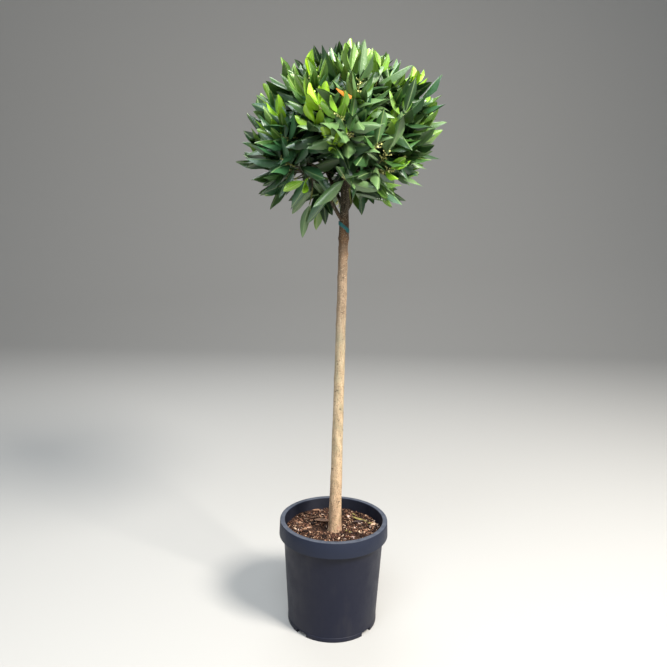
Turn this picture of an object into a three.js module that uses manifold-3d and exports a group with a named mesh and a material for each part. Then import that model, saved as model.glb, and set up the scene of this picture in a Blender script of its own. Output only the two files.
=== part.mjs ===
// A standard bay tree: a clipped round head of leaves on one clear stem, growing in a plastic pot.
// Millimetres, +Z up. The front of the plant faces -Y, and +X is to its right.
// The origin is the centre of the pot's flat underside.
import * as THREE from "three";
import { mergeVertices } from "three/addons/utils/BufferGeometryUtils.js";
import Module from "manifold-3d";

const wasm = await Module();
wasm.setup();

// Pot: a moulded container with a folded-over rim, and four drainage channels across its underside.
const pot = {
  height: 232,
  rimRadius: 127.5,
  rimDepth: 34,
  lip: 2.8,
  wall: 2.2,
  lipInner: 115,
  topRadius: 119.6,
  bodyRadius: 102,
  footRadius: 103.5,
  footHeight: 9.5,
  floor: 3,
  edge: 1,
  facets: 32,
};
const channel = { count: 4, turn: 48.8, width: 29, height: 8.5, inner: 38, outer: 100.2, roof: 2.5, drain: 6 };

// Compost: it fills the pot to below the lip, with coarse bark on top.
const compost = { level: 207, relief: 2.2, facets: 32, rings: [1, 0.82, 0.6, 0.38, 0.18, 0] };
const chip = {
  seed: 71,
  count: 10,
  long: [14, 27],
  wide: [7, 12],
  thick: [2.6, 4],
  tilt: [-0.3, 0.3],
  fromStem: 34,
  fromWall: 16,
  lift: 0.8,
};

// Trunk: radius and sideways place at each height, from the flat cut in the compost to the tip.
const trunkFoot = 203;
const trunkRings = [
  { z: trunkFoot - 8, radius: 17.2, x: 2.7 },
  { z: trunkFoot + 6, radius: 15.9, x: 2.7 },
  { z: 226, radius: 15.0, x: 2.8 },
  { z: 325, radius: 13.5, x: 4.0 },
  { z: 470, radius: 12.4, x: 5.6 },
  { z: 610, radius: 11.8, x: 7.4 },
  { z: 746, radius: 11.3, x: 8.8 },
  { z: 870, radius: 10.9, x: 10.0 },
  { z: 918, radius: 11.7, x: 10.4 },
  { z: 950, radius: 10.4, x: 10.0 },
  { z: 1020, radius: 8.4, x: 10.5 },
  { z: 1100, radius: 6.0, x: 13.0 },
  { z: 1180, radius: 3.9, x: 18.0 },
];
const trunkSides = 10;

// Tie: a strip of plastic left round the top of the clear stem, lower on its right side.
const tie = { z: 920, width: 9.5, thickness: 1.6, slope: 0.8, lean: 0.1, sides: 12 };

// Head: a ball a little wider than it is tall, which leans to the right. Its masses lie in rings, "up" degrees
// above its middle. Each has a bough from the trunk at "from" to "aim" degrees, "reach" of the way out.
const head = { x: 3, z: 1135, wide: 246, deep: 244, tall: 227, lean: 0.11 };
const rings = [
  { name: "top", up: 90, count: 1, turn: 0 },
  { name: "upper", up: 36, count: 4, turn: -28, from: 1098, radius: 4.2, aim: 36, reach: 0.3 },
  { name: "middle", up: -2, count: 5, turn: 6, from: 1044, radius: 4.8, aim: -4, reach: 0.3 },
  { name: "lower", up: -44, count: 4, turn: -62, from: 930, radius: 5.2, aim: -62, reach: 0.44 },
];
const bough = { rise: 26, stagger: 11, tip: 0.68, sides: 5, steps: 3 };
const gap = 0.3;
const limbRoom = 1.2;

// Growth of a mass: one stem, shoots that branch from it, and leaves set in a spiral round each shoot.
// Places on the ball are shares of its radius, and "blade" is how far past its shoot's tip a leaf may reach.
const growth = {
  seed: 1735,
  shoots: 112,
  lowest: -0.8,
  core: 0.5,
  coreInside: 0.34,
  stemEnd: 0.46,
  stemRadius: 3.2,
  shootTip: [0.56, 0.78],
  shootFrom: [0.5, 0.95],
  shootRadius: 2.2,
  tipRadius: 1.4,
  spiral: 137.5,
  jitter: 14,
  blade: 0.3,
  hang: 0.16,
};

// Underneath, shoots are thinned out, none hides the fork in front, and three hang beside the stem.
const thinning = { below: -0.35, share: 0.38 };
const openFront = { below: -0.42, halfTurn: 38 };
const lowShoots = { count: 3, turn: -75, up: -72, share: 0.76 };

// How a leaf is aimed again where it has no room: swung round its shoot, raised and shortened.
const retry = { times: 14, swing: 22, raise: 0.05, shorten: 0.035 };

// Leaves: "low" ones lie flat round the shoot's foot, and the last ones stand up at its tip.
const leaf = {
  length: 100,
  width: 0.38,
  widest: 0.46,
  cup: 0.02,
  keelAt: 0.42,
  keel: 0.03,
  droop: 0.06,
  hang: 1.1,
  faceOut: 0.5,
  faceUp: 0.3,
  perShoot: 6,
  rootedAt: [0.66, 0.98],
  lowSpread: 84,
  tipSpread: 34,
  tipLength: 0.78,
  variety: 0.12,
  swing: 7,
};

const up = new THREE.Vector3(0, 0, 1);

// A direction that no limb runs along, which the corners of its rings are counted from.
const askew = new THREE.Vector3(0.31, 0.95, 0.05);

// Corners nearer than this are made one, or than the next value where that would leave a fault.
const slivers = [0.02, 0.01, 0.005, 0.001];

function solidOf(geometry, fineness = 1e-3) {
  const bare = geometry.clone();
  bare.deleteAttribute("normal");
  bare.deleteAttribute("uv");
  const merged = mergeVertices(bare, fineness);
  const mesh = new wasm.Mesh({
    numProp: 3,
    vertProperties: new Float32Array(merged.attributes.position.array),
    triVerts: new Uint32Array(merged.index.array),
  });
  return new wasm.Manifold(mesh);
}

function geometryOf(solid) {
  const mesh = solid.getMesh();
  const geometry = new THREE.BufferGeometry();
  geometry.setAttribute("position", new THREE.BufferAttribute(mesh.vertProperties, 3));
  geometry.setIndex(new THREE.BufferAttribute(mesh.triVerts, 1));
  geometry.computeVertexNormals();
  return geometry;
}

// Keeps the one big body, without loose scraps or the walls of sealed hollows. Making corners one
// can close off another hollow, so it is done until a round changes nothing.
function wholeBody(solid, fineness = slivers[0]) {
  const bodies = solidOf(geometryOf(solid), fineness).decompose();
  const big = bodies.reduce((best, next) => (next.volume() > best.volume() ? next : best));
  return bodies.length > 1 || big.numTri() !== solid.numTri() ? wholeBody(big, fineness) : big;
}

// True where each edge belongs to just two faces, once corners that lie together are counted as one.
function isClosed(solid) {
  const corners = geometryOf(solid).deleteAttribute("normal");
  const { array } = mergeVertices(corners, 1e-3).index;
  const uses = new Map();
  array.forEach((from, i) => {
    const to = array[i % 3 === 2 ? i - 2 : i + 1];
    const edge = `${Math.min(from, to)} ${Math.max(from, to)}`;
    uses.set(edge, (uses.get(edge) ?? 0) + 1);
  });
  return [...uses.values()].every((faces) => faces === 2);
}

// Joins the solids into one body, with slivers dropped as far as its surface stays closed.
function fuse(solids) {
  const joined = solids.reduce((sum, next) => sum.add(next));
  for (const fineness of slivers) {
    const body = wholeBody(joined, fineness);
    if (isClosed(body)) {
      return body;
    }
  }
  return null;
}

// A repeatable stream of numbers from 0 to 1.
function seeded(seed) {
  let state = seed;
  return () => {
    state = (state * 16807) % 2147483647;
    return state / 2147483647;
  };
}

function between(random, low, high) {
  return low + (high - low) * random();
}

// A closed limb: a unit cylinder whose rings are moved onto the curve, each square to it.
function limb(curve, radii, sides, extra = 0) {
  const steps = radii.length - 1;
  const shape = new THREE.CylinderGeometry(1, 1, 1, sides, steps);
  const frames = radii.map((radius, i) => {
    const along = curve.getTangent(i / steps);
    const side = askew.clone().cross(along).normalize();
    const over = along.clone().cross(side);
    return { centre: curve.getPoint(i / steps), side, over, radius: radius + extra };
  });
  const position = shape.attributes.position;
  for (let i = 0; i < position.count; i++) {
    const { centre, side, over, radius } = frames[Math.round((position.getY(i) + 0.5) * steps)];
    const corner = centre.clone();
    corner.addScaledVector(side, position.getZ(i) * radius);
    corner.addScaledVector(over, position.getX(i) * radius);
    position.setXYZ(i, corner.x, corner.y, corner.z);
  }
  return solidOf(shape);
}

function tapered(from, to, steps) {
  return Array.from({ length: steps + 1 }, (_, i) => from + ((to - from) * i) / steps);
}

// A solid of revolution about +Z from a profile of [radius, height] pairs.
function turned(profile, facets) {
  const points = profile.map(([radius, height]) => new THREE.Vector2(radius, height));
  return solidOf(new THREE.LatheGeometry(points, facets).rotateX(Math.PI / 2));
}

// A box that lies along a ray from the axis, turned by "angle" degrees from the front.
function radialBox(inner, outer, width, low, high, angle) {
  const box = new THREE.BoxGeometry(outer - inner, width, high - low);
  box.translate((inner + outer) / 2, 0, (low + high) / 2);
  box.rotateZ(THREE.MathUtils.degToRad(angle - 90));
  return solidOf(box);
}

function bodyRadiusAt(z) {
  return pot.bodyRadius + ((pot.topRadius - pot.bodyRadius) * z) / pot.height;
}

// The inside of the wall, which thickens upwards into the lip.
function innerRadiusAt(z) {
  const foot = bodyRadiusAt(pot.floor) - pot.wall;
  return foot + ((pot.lipInner - foot) * (z - pot.floor)) / (pot.height - pot.edge - pot.floor);
}

function channelAngles() {
  return Array.from({ length: channel.count }, (_, i) => channel.turn + (360 / channel.count) * i);
}

// The raised roofs of the channels, as the compost meets them.
function channelRoofs(extra) {
  const half = channel.width / 2 + channel.roof + extra;
  const top = channel.height + channel.roof + extra;
  const inner = channel.inner - channel.roof - extra;
  return channelAngles().map((angle) => radialBox(inner, channel.outer, 2 * half, pot.floor / 2, top, angle));
}

function makePot() {
  const { height, rimRadius, rimDepth, wall, lipInner, footRadius, footHeight, edge } = pot;
  const underLip = height - pot.lip;
  const shell = turned(
    [
      [0, 0],
      [footRadius - edge, 0],
      [footRadius, edge],
      [footRadius, footHeight - edge / 2],
      [footRadius - edge / 2, footHeight],
      [bodyRadiusAt(footHeight), footHeight + edge / 2],
      [bodyRadiusAt(underLip), underLip],
      [rimRadius - wall, underLip],
      [rimRadius - wall, height - rimDepth],
      [rimRadius - edge / 2, height - rimDepth],
      [rimRadius, height - rimDepth + edge / 2],
      [rimRadius, height - 2 * edge],
      [rimRadius - edge / 2, height - edge / 2],
      [rimRadius - 2 * edge, height],
      [lipInner + edge, height],
      [lipInner, height - edge],
      [innerRadiusAt(pot.floor), pot.floor],
      [0, pot.floor],
    ],
    pot.facets,
  );
  const drainAt = (channel.inner + pot.bodyRadius) / 2;
  const cuts = channelAngles().flatMap((angle) => {
    const groove = radialBox(channel.inner, rimRadius, channel.width, -1, channel.height, angle);
    const drain = new THREE.CylinderGeometry(channel.drain, channel.drain, 4 * channel.roof, 12);
    drain.rotateX(Math.PI / 2).translate(drainAt, 0, channel.height + channel.roof / 2);
    drain.rotateZ(THREE.MathUtils.degToRad(angle - 90));
    return [groove, solidOf(drain)];
  });
  const built = channelRoofs(0).reduce((sum, roof) => sum.add(roof), shell);
  return cuts.reduce((rest, cut) => rest.subtract(cut), built);
}

// Low mounds of the compost's surface: broad waves and, between them, finer ones.
function moundAt(x, y) {
  const broad = Math.sin(x / 17 + 1.3) * Math.cos(y / 13 - 0.6);
  const fine = Math.sin(x / 7.5 - y / 9 + 2.1);
  return compost.relief * (broad + 0.6 * fine);
}

// Bark chips: flat slips that lie on the compost at all angles, half sunk in it.
function makeChips(radius) {
  const random = seeded(chip.seed);
  const size = (range) => between(random, ...range);
  return Array.from({ length: chip.count }, (_, i) => {
    const slip = new THREE.BoxGeometry(size(chip.long), size(chip.wide), size(chip.thick));
    slip.rotateY(size(chip.tilt)).rotateX(size(chip.tilt)).rotateZ(between(random, 0, Math.PI));
    const span = radius - chip.fromWall - chip.fromStem;
    const out = chip.fromStem + span * Math.sqrt((i + 0.5) / chip.count);
    const around = THREE.MathUtils.degToRad(i * growth.spiral);
    const [x, y] = [out * Math.cos(around), out * Math.sin(around)];
    return solidOf(slip.translate(x, y, compost.level + moundAt(x, y) + chip.lift));
  });
}

function makeCompost(trunkCut) {
  const low = pot.floor + gap;
  const wallAt = (z) => innerRadiusAt(z) - gap;
  const reach = wallAt(compost.level);
  const surface = compost.rings.map((share) => [share * reach, compost.level]);
  const profile = [[0, low], [wallAt(low), low], ...surface].map(([r, z]) => new THREE.Vector2(r, z));
  const plug = new THREE.LatheGeometry(profile, compost.facets).rotateX(Math.PI / 2);
  const position = plug.attributes.position;
  for (let i = 0; i < position.count; i++) {
    const x = position.getX(i);
    const y = position.getY(i);
    if (position.getZ(i) > compost.level - 1 && Math.hypot(x, y) < reach - 1) {
      position.setZ(i, compost.level + moundAt(x, y));
    }
  }
  const heap = fuse([solidOf(plug), ...makeChips(reach)]);
  return [...channelRoofs(gap), trunkCut].reduce((rest, cut) => rest.subtract(cut), heap);
}

function makeTrunk(extra = 0) {
  const path = new THREE.CatmullRomCurve3(trunkRings.map(({ x, z }) => new THREE.Vector3(x, 0, z)));
  const whole = limb(path, trunkRings.map(({ radius }) => radius), trunkSides, extra);
  const below = new THREE.BoxGeometry(80, 80, 40).translate(0, 0, trunkFoot - extra - 20);
  return whole.subtract(solidOf(below));
}

function trunkAt(z) {
  const above = trunkRings.findIndex((ring) => ring.z >= z);
  const [a, b] = [trunkRings[above - 1], trunkRings[above]];
  const share = (z - a.z) / (b.z - a.z);
  const mix = (key) => a[key] + (b[key] - a[key]) * share;
  return { x: mix("x"), radius: mix("radius") };
}

// The tie: a ring cut to fit round the trunk, whose two edges slope down to the right.
function makeTie(trunkCut) {
  const { x, radius } = trunkAt(tie.z);
  const outer = radius + tie.thickness;
  const disc = new THREE.CylinderGeometry(outer, outer, tie.width, tie.sides).rotateX(Math.PI / 2);
  const shear = new THREE.Matrix4().set(1, 0, 0, x, 0, 1, 0, 0, -tie.slope, tie.lean, 1, tie.z, 0, 0, 0, 1);
  return wholeBody(solidOf(disc.applyMatrix4(shear)).subtract(trunkCut));
}

// The ball's own space: its middle is 0 and its surface lies at length 1.
const ballMatrix = new THREE.Matrix4().set(
  ...[head.wide, 0, head.lean * head.tall, head.x],
  ...[0, head.deep, 0, 0],
  ...[0, 0, head.tall, head.z],
  ...[0, 0, 0, 1],
);
const ballInverse = ballMatrix.clone().invert();

function fromBall(direction, share) {
  return direction.clone().multiplyScalar(share).applyMatrix4(ballMatrix);
}

function toBall(point) {
  return point.clone().applyMatrix4(ballInverse);
}

function towards(turn, rise) {
  const a = THREE.MathUtils.degToRad(turn);
  const e = THREE.MathUtils.degToRad(rise);
  return new THREE.Vector3(Math.sin(a) * Math.cos(e), -Math.cos(a) * Math.cos(e), Math.sin(e));
}

// Each mass has a direction from the ball's middle, and owns the space nearer to it than to any other.
function listMasses() {
  return rings.flatMap((ring) =>
    Array.from({ length: ring.count }, (_, i) => {
      const label = ring.count > 1 ? `${ring.name}_${i + 1}` : ring.name;
      const turn = ring.turn + (360 / ring.count) * i;
      return { ring, label, turn, place: i, direction: towards(turn, ring.up), tips: [] };
    }),
  );
}

// The ways from a mass to each of its neighbours, square to the walls between them.
function waysAcross(mass, masses) {
  return masses
    .filter((other) => other !== mass)
    .map((other) => other.direction.clone().sub(mass.direction).normalize());
}

function isInside(mass, point, room) {
  const spot = toBall(point);
  return mass.walls.every((across) => spot.dot(across) * head.tall < -room);
}

// Gives a shoot's tip to the mass whose space it is in.
function giveShoot(masses, direction, share) {
  const owner = masses.reduce((best, next) =>
    next.direction.dot(direction) > best.direction.dot(direction) ? next : best,
  );
  owner.tips.push({ tip: fromBall(direction, share), reach: share + growth.blade });
}

// Shoot tips lie on a spiral over the ball, some near its surface and some further in.
function shareShoots(masses) {
  const random = seeded(growth.seed);
  for (let i = 0; i < growth.shoots; i++) {
    const height = 1 - ((1 - growth.lowest) * (i + 0.5)) / growth.shoots;
    const jitter = between(random, -growth.jitter, growth.jitter);
    const angle = THREE.MathUtils.degToRad(i * growth.spiral + jitter);
    const flat = Math.sqrt(1 - height * height);
    const direction = new THREE.Vector3(flat * Math.cos(angle), flat * Math.sin(angle), height);
    const share = between(random, ...growth.shootTip);
    const thinned = height < thinning.below && random() < thinning.share;
    const fromFront = THREE.MathUtils.radToDeg(Math.atan2(direction.x, -direction.y));
    const hidesFork = height < openFront.below && Math.abs(fromFront) < openFront.halfTurn;
    if (!thinned && !hidesFork) {
      giveShoot(masses, direction, share);
    }
  }
  for (let i = 0; i < lowShoots.count; i++) {
    const turn = lowShoots.turn + (360 / lowShoots.count) * i;
    giveShoot(masses, towards(turn, lowShoots.up), lowShoots.share);
  }
}

// A bough, and the room round it and past its tip that the leaves keep clear of.
function makeBough(mass, trunkCut) {
  const { from, radius, aim, reach } = mass.ring;
  const low = from + bough.stagger * mass.place;
  const start = new THREE.Vector3(trunkAt(low).x, 0, low);
  const outAndUp = towards(mass.turn, 0).add(up).multiplyScalar(bough.rise);
  const bend = start.clone().add(outAndUp);
  const end = fromBall(towards(mass.turn, aim), reach);
  const path = new THREE.QuadraticBezierCurve3(start, bend, end);
  const radii = tapered(radius, radius * bough.tip, bough.steps);
  mass.way = path.getTangent(1);
  mass.start = end.clone().addScaledVector(mass.way, gap);
  const wide = radii.at(-1) + limbRoom;
  const past = limb(new THREE.LineCurve3(end, mass.start), [wide, wide], bough.sides);
  return {
    solid: wholeBody(limb(path, radii, bough.sides).subtract(trunkCut)),
    room: limb(path, radii, bough.sides, limbRoom).add(past),
  };
}

// The core: a thick shell of the ball's own shape where it lies in the mass's space, cut clear of the
// limbs. The boughs spread in the open space inside it.
function makeCore(mass, limbs) {
  const [ball, inside] = [growth.core, growth.coreInside].map((share) =>
    solidOf(new THREE.IcosahedronGeometry(share, 1).applyMatrix4(ballMatrix)),
  );
  const beyond = mass.walls.map((across) => {
    const block = new THREE.BoxGeometry(2, 2, 1).translate(0, 0, 0.5 - gap / head.tall);
    block.applyQuaternion(new THREE.Quaternion().setFromUnitVectors(up, across));
    return solidOf(block.applyMatrix4(ballMatrix));
  });
  return [inside, ...beyond, ...limbs].reduce((rest, cut) => rest.subtract(cut), ball);
}

// One leaf: a pointed blade, folded a little across its widest place, over a keel. It has 6 faces.
function makeLeaf(root, along, face, length) {
  const side = new THREE.Vector3().crossVectors(along, face).normalize();
  const over = new THREE.Vector3().crossVectors(side, along).normalize();
  const spot = (share, out, rise) => {
    const point = root.clone().addScaledVector(along, share * length);
    return point.addScaledVector(side, out * length).addScaledVector(over, rise * length);
  };
  const tip = spot(1, 0, -leaf.droop);
  const points = [
    spot(0, 0, 0),
    tip,
    spot(leaf.widest, leaf.width / 2, leaf.cup),
    spot(leaf.widest, -leaf.width / 2, leaf.cup),
    spot(leaf.keelAt, 0, -leaf.keel),
  ];
  const faces = [0, 2, 3, 1, 3, 2, 0, 4, 2, 2, 4, 1, 1, 4, 3, 3, 4, 0];
  const geometry = new THREE.BufferGeometry().setFromPoints(points);
  geometry.setIndex(faces);
  return { solid: solidOf(geometry), points, tip };
}

function crosses(solid, others) {
  const a = solid.boundingBox();
  return others.some((other) => {
    const b = other.boundingBox();
    const apart = [0, 1, 2].some((i) => a.max[i] < b.min[i] || b.max[i] < a.min[i]);
    return !apart && solid.intersect(other).volume() > 0;
  });
}

// A leaf is aimed a few times, a little shorter and nearer to upright each time, until it fits.
function fitLeaf(mass, { root, axis, turn, spread, length, reach }, others) {
  const outward = toBall(root).normalize();
  const face = axis.clone().addScaledVector(outward, leaf.faceOut).addScaledVector(up, leaf.faceUp);
  const side = new THREE.Vector3().crossVectors(axis, askew).normalize();
  for (let attempt = 0; attempt < retry.times; attempt++) {
    const swing = retry.swing * Math.ceil(attempt / 2) * (attempt % 2 ? 1 : -1);
    const away = side.clone().applyAxisAngle(axis, THREE.MathUtils.degToRad(turn + swing));
    const angle = THREE.MathUtils.degToRad(spread * (1 - retry.raise * attempt));
    const along = axis.clone().multiplyScalar(Math.cos(angle)).addScaledVector(away, Math.sin(angle));
    along.addScaledVector(up, -leaf.hang * Math.max(0, -outward.z));
    const made = makeLeaf(root, along.normalize(), face, length * (1 - retry.shorten * attempt));
    const tip = toBall(made.tip);
    const inReach = tip.length() < reach + growth.hang * Math.max(0, -tip.z);
    const fits = inReach && made.points.every((point) => isInside(mass, point, gap));
    if (fits && !crosses(made.solid, others)) {
      return made.solid;
    }
  }
  return null;
}

// A shoot: a three-sided twig from the stem to its tip, if it keeps to the mass's space and off the limbs.
function makeShoot(mass, stem, { tip, reach }, random, limbs) {
  const start = stem.getPoint(between(random, ...growth.shootFrom));
  const twig = limb(new THREE.LineCurve3(start, tip), [growth.shootRadius, growth.tipRadius], 3);
  const inside = [start, tip].every((point) => isInside(mass, point, growth.shootRadius + gap));
  return inside && !crosses(twig, limbs) ? { start, tip, reach, twig, turn: between(random, 0, 360) } : null;
}

// Where the leaf at "share" of the way up a shoot's leafy end is rooted, and how it is aimed.
function leafPlan({ start, tip, reach, turn }, share, place, random) {
  const [first, last] = leaf.rootedAt;
  const spread = leaf.lowSpread + (leaf.tipSpread - leaf.lowSpread) * share;
  const size = 1 + (leaf.tipLength - 1) * share;
  return {
    root: start.clone().lerp(tip, first + (last - first) * share),
    axis: tip.clone().sub(start).normalize(),
    turn: turn + place * growth.spiral,
    spread: spread + between(random, -leaf.swing, leaf.swing),
    length: leaf.length * size * (1 + between(random, -leaf.variety, leaf.variety)),
    reach,
  };
}

function growMass(mass, limbs) {
  const random = seeded(growth.seed + mass.place + 10 * mass.ring.count);
  const end = fromBall(mass.direction, growth.stemEnd);
  const bend = mass.start.clone().addScaledVector(mass.way, mass.start.distanceTo(end) / 2);
  const stem = new THREE.QuadraticBezierCurve3(mass.start, bend, end);
  const spine = limb(stem, tapered(growth.stemRadius, growth.shootRadius, 2), 3);
  const core = makeCore(mass, limbs);
  const shoots = mass.tips.map((each) => makeShoot(mass, stem, each, random, limbs)).filter(Boolean);
  const leaves = [];
  for (let place = 0; place < leaf.perShoot; place++) {
    for (const shoot of shoots) {
      const others = shoots.filter((other) => other !== shoot).map((other) => other.twig);
      const plan = leafPlan(shoot, place / (leaf.perShoot - 1), place, random);
      const made = fitLeaf(mass, plan, [...limbs, core, ...others, ...leaves]);
      if (made) {
        leaves.push(made);
      }
    }
  }
  return fuseLeaves([core, spine, ...shoots.map((shoot) => shoot.twig)], leaves);
}

// Joins all the leaves on, but for the one that leaves a fault in the joined surface, if one does.
function fuseLeaves(wood, leaves) {
  for (const fault of [null, ...leaves]) {
    const joined = fuse([...wood, ...leaves.filter((each) => each !== fault)]);
    if (joined) {
      return joined;
    }
  }
  throw new Error("no set of leaves joins to a closed surface");
}

function material(colour, roughness, metalness = 0) {
  return new THREE.MeshStandardMaterial({ color: colour, roughness, metalness });
}

const finish = {
  pot: material(0x24262b, 0.55),
  compost: material(0x4a3020, 0.95),
  bark: material(0x9a8763, 0.85),
  tie: material(0x14707a, 0.5),
  leaves: material(0x2f5a2c, 0.45),
};

const tree = new THREE.Group();

function addNode(name, solid, look) {
  const mesh = new THREE.Mesh(geometryOf(solid), look);
  mesh.name = name;
  tree.add(mesh);
}

const trunkCut = makeTrunk(gap);
addNode("pot", makePot(), finish.pot);
addNode("compost", makeCompost(trunkCut), finish.compost);
addNode("trunk", makeTrunk(), finish.bark);
addNode("tie", makeTie(trunkCut), finish.tie);

const masses = listMasses();
shareShoots(masses);
const limbs = [makeTrunk(limbRoom)];
for (const mass of masses) {
  mass.walls = waysAcross(mass, masses);
  if (mass.ring.from) {
    const { solid, room } = makeBough(mass, trunkCut);
    addNode(`bough_${mass.label}`, solid, finish.bark);
    limbs.push(room);
  } else {
    const { x, z } = trunkRings.at(-1);
    mass.start = new THREE.Vector3(x, 0, z + gap);
    mass.way = up.clone();
  }
}
for (const mass of masses) {
  addNode(`leaves_${mass.label}`, growMass(mass, limbs), finish.leaves);
}

export default tree;
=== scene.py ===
# A standard bay tree in its pot: a clipped round head of glossy leaves on one clear stem.
# Metres, +Z up, with the front of the plant towards -Y. Each piece is made where it stands.
import math

import bmesh
import bpy
import numpy as np
from mathutils import Matrix, Quaternion, Vector, noise


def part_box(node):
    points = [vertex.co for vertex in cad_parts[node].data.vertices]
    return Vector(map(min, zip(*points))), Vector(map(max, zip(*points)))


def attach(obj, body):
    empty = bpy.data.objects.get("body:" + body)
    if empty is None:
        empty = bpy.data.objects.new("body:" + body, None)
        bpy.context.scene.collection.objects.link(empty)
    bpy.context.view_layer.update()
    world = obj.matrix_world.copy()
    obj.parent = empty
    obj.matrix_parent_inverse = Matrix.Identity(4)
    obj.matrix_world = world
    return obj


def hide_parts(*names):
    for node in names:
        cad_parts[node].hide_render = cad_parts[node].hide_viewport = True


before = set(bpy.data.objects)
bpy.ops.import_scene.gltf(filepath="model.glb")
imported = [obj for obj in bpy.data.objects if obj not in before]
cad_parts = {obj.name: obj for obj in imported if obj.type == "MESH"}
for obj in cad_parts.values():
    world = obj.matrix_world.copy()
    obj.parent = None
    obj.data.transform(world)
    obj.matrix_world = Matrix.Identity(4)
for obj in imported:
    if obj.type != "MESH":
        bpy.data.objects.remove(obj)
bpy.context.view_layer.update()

# Camera: it stands a step and a half in front of the plant, level with the top of the clear stem,
# and is turned a little about its own axis, as the photograph is.
camera_place = (-0.0128, -1.4446, 0.8805)
camera_pitch = math.radians(0.93)
camera_roll = math.radians(1.124)
camera_lens = 33.19
camera_shift = -0.12
bpy.ops.object.select_all(action="DESELECT")
bpy.ops.object.camera_add()
camera = bpy.context.object
camera.data.lens = camera_lens
camera.data.sensor_width = 36
camera.data.shift_y = camera_shift
camera_turn = Matrix.Rotation(math.pi / 2 - camera_pitch, 4, "X") @ Matrix.Rotation(camera_roll, 4, "Z")
camera.matrix_world = Matrix.Translation(camera_place) @ camera_turn
bpy.context.scene.camera = camera

# Studio: a pale floor that curves up behind into a backdrop, and four soft lamps. The main lamp is
# high on the right, and the sky's part is an even pale light all round.
floor_size = 12.0
backdrop_curve = 2.5
floor_colour = (0.43, 0.42, 0.405, 1)
sky_colour = (0.88, 0.94, 1.0, 1)
sky_strength = 0.29
lamp_aim = Vector((0, 0, 0.8))
lamps = {
    "main_lamp": ((1.75, -1.55, 2.75), 0.9, 235, (1.0, 0.955, 0.88)),
    "side_lamp": ((-2.2, -1.6, 1.6), 2.0, 3, (0.93, 0.97, 1.0)),
    "top_lamp": ((-0.5, -1.9, 3.0), 2.2, 92, (0.86, 0.94, 1.0)),
    "back_lamp": ((-0.4, 1.6, 2.9), 2.4, 45, (0.93, 0.97, 1.0)),
}


def select_edges(piece, wanted):
    """In edit mode, selects the edges whose middle is wanted."""
    shape = bmesh.from_edit_mesh(piece.data)
    for edge in shape.edges:
        edge.select_set(wanted((edge.verts[0].co + edge.verts[1].co) / 2))
    shape.select_flush_mode()
    bmesh.update_edit_mesh(piece.data)


bpy.ops.object.select_all(action="DESELECT")
bpy.ops.mesh.primitive_plane_add(size=floor_size)
floor = bpy.context.object
floor.name = "floor"
bpy.ops.object.mode_set(mode="EDIT")
bpy.ops.mesh.select_mode(type="EDGE")
bpy.ops.mesh.select_all(action="DESELECT")
select_edges(floor, lambda middle: middle.y > floor_size / 2 - 0.01)
bpy.ops.mesh.extrude_region_move(TRANSFORM_OT_translate={"value": (0, 0, floor_size / 2)})
bpy.ops.mesh.select_all(action="DESELECT")
select_edges(floor, lambda middle: middle.y > floor_size / 2 - 0.01 and middle.z < 0.01)
bpy.ops.mesh.bevel(offset=backdrop_curve, segments=24)
bpy.ops.object.mode_set(mode="OBJECT")
bpy.ops.object.shade_smooth()
floor_paint = bpy.data.materials.new("floor_paint")
floor_paint.use_nodes = True
floor_shader = floor_paint.node_tree.nodes["Principled BSDF"]
floor_shader.inputs["Base Color"].default_value = floor_colour
floor_shader.inputs["Roughness"].default_value = 0.9
floor.data.materials.append(floor_paint)

for lamp_name, (lamp_place, lamp_side, lamp_power, lamp_colour) in lamps.items():
    bpy.ops.object.select_all(action="DESELECT")
    bpy.ops.object.light_add(type="AREA", location=lamp_place)
    lamp = bpy.context.object
    lamp.name = lamp_name
    lamp.data.size = lamp_side
    lamp.data.energy = lamp_power
    lamp.data.color = lamp_colour
    lamp.rotation_euler = (lamp_aim - Vector(lamp_place)).to_track_quat("-Z", "Y").to_euler()

sky = bpy.data.worlds.new("sky")
sky.use_nodes = True
sky.node_tree.nodes["Background"].inputs["Color"].default_value = sky_colour
sky.node_tree.nodes["Background"].inputs["Strength"].default_value = sky_strength
bpy.context.scene.world = sky
bpy.context.scene.view_settings.view_transform = "Standard"

# Pot: a 10 litre nursery pot, moulded in one piece from black-blue plastic. Its rim is folded over
# and hangs free of the wall, with a painted sheen on its band and on the top of its flat lip, and
# four channels across the underside let it drain. Its inside is painted darker, as shade and dirt.
pot_sides = 128
pot_height = 0.232
pot_wall = 0.0022
pot_floor = 0.003
pot_edge = 0.0010
pot_bevel = 0.0006
lip_inner_radius = 0.115
rim_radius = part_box("pot")[1].x
rim_lean = 0.0011
rim_top_radius = rim_radius - rim_lean
rim_depth = 0.034
rim_foot = pot_height - rim_depth
rim_thickness = 0.0028
rim_underside = pot_height - rim_thickness
wall_foot_radius, wall_top_radius = 0.1020, 0.1196
foot_radius, foot_height = 0.1035, 0.0095
channel_turn = math.radians(48.8)
quarters = [Matrix.Rotation(channel_turn + i * math.pi / 2, 4, "Z") for i in (-1, 0, 1, 2)]
channel_inner, channel_width, channel_height, channel_roof = 0.038, 0.029, 0.0085, 0.0025
roof_inset = 0.0018
drain_radius = 0.006
drain_depth = 4 * channel_roof


def wall_radius(z):
    return wall_foot_radius + (wall_top_radius - wall_foot_radius) * z / pot_height


def inner_radius(z):
    """The inside of the wall, which thickens upwards into the lip."""
    foot = wall_radius(pot_floor) - pot_wall
    return foot + (lip_inner_radius - foot) * (z - pot_floor) / (pot_height - 2 * pot_edge - pot_floor)


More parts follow.
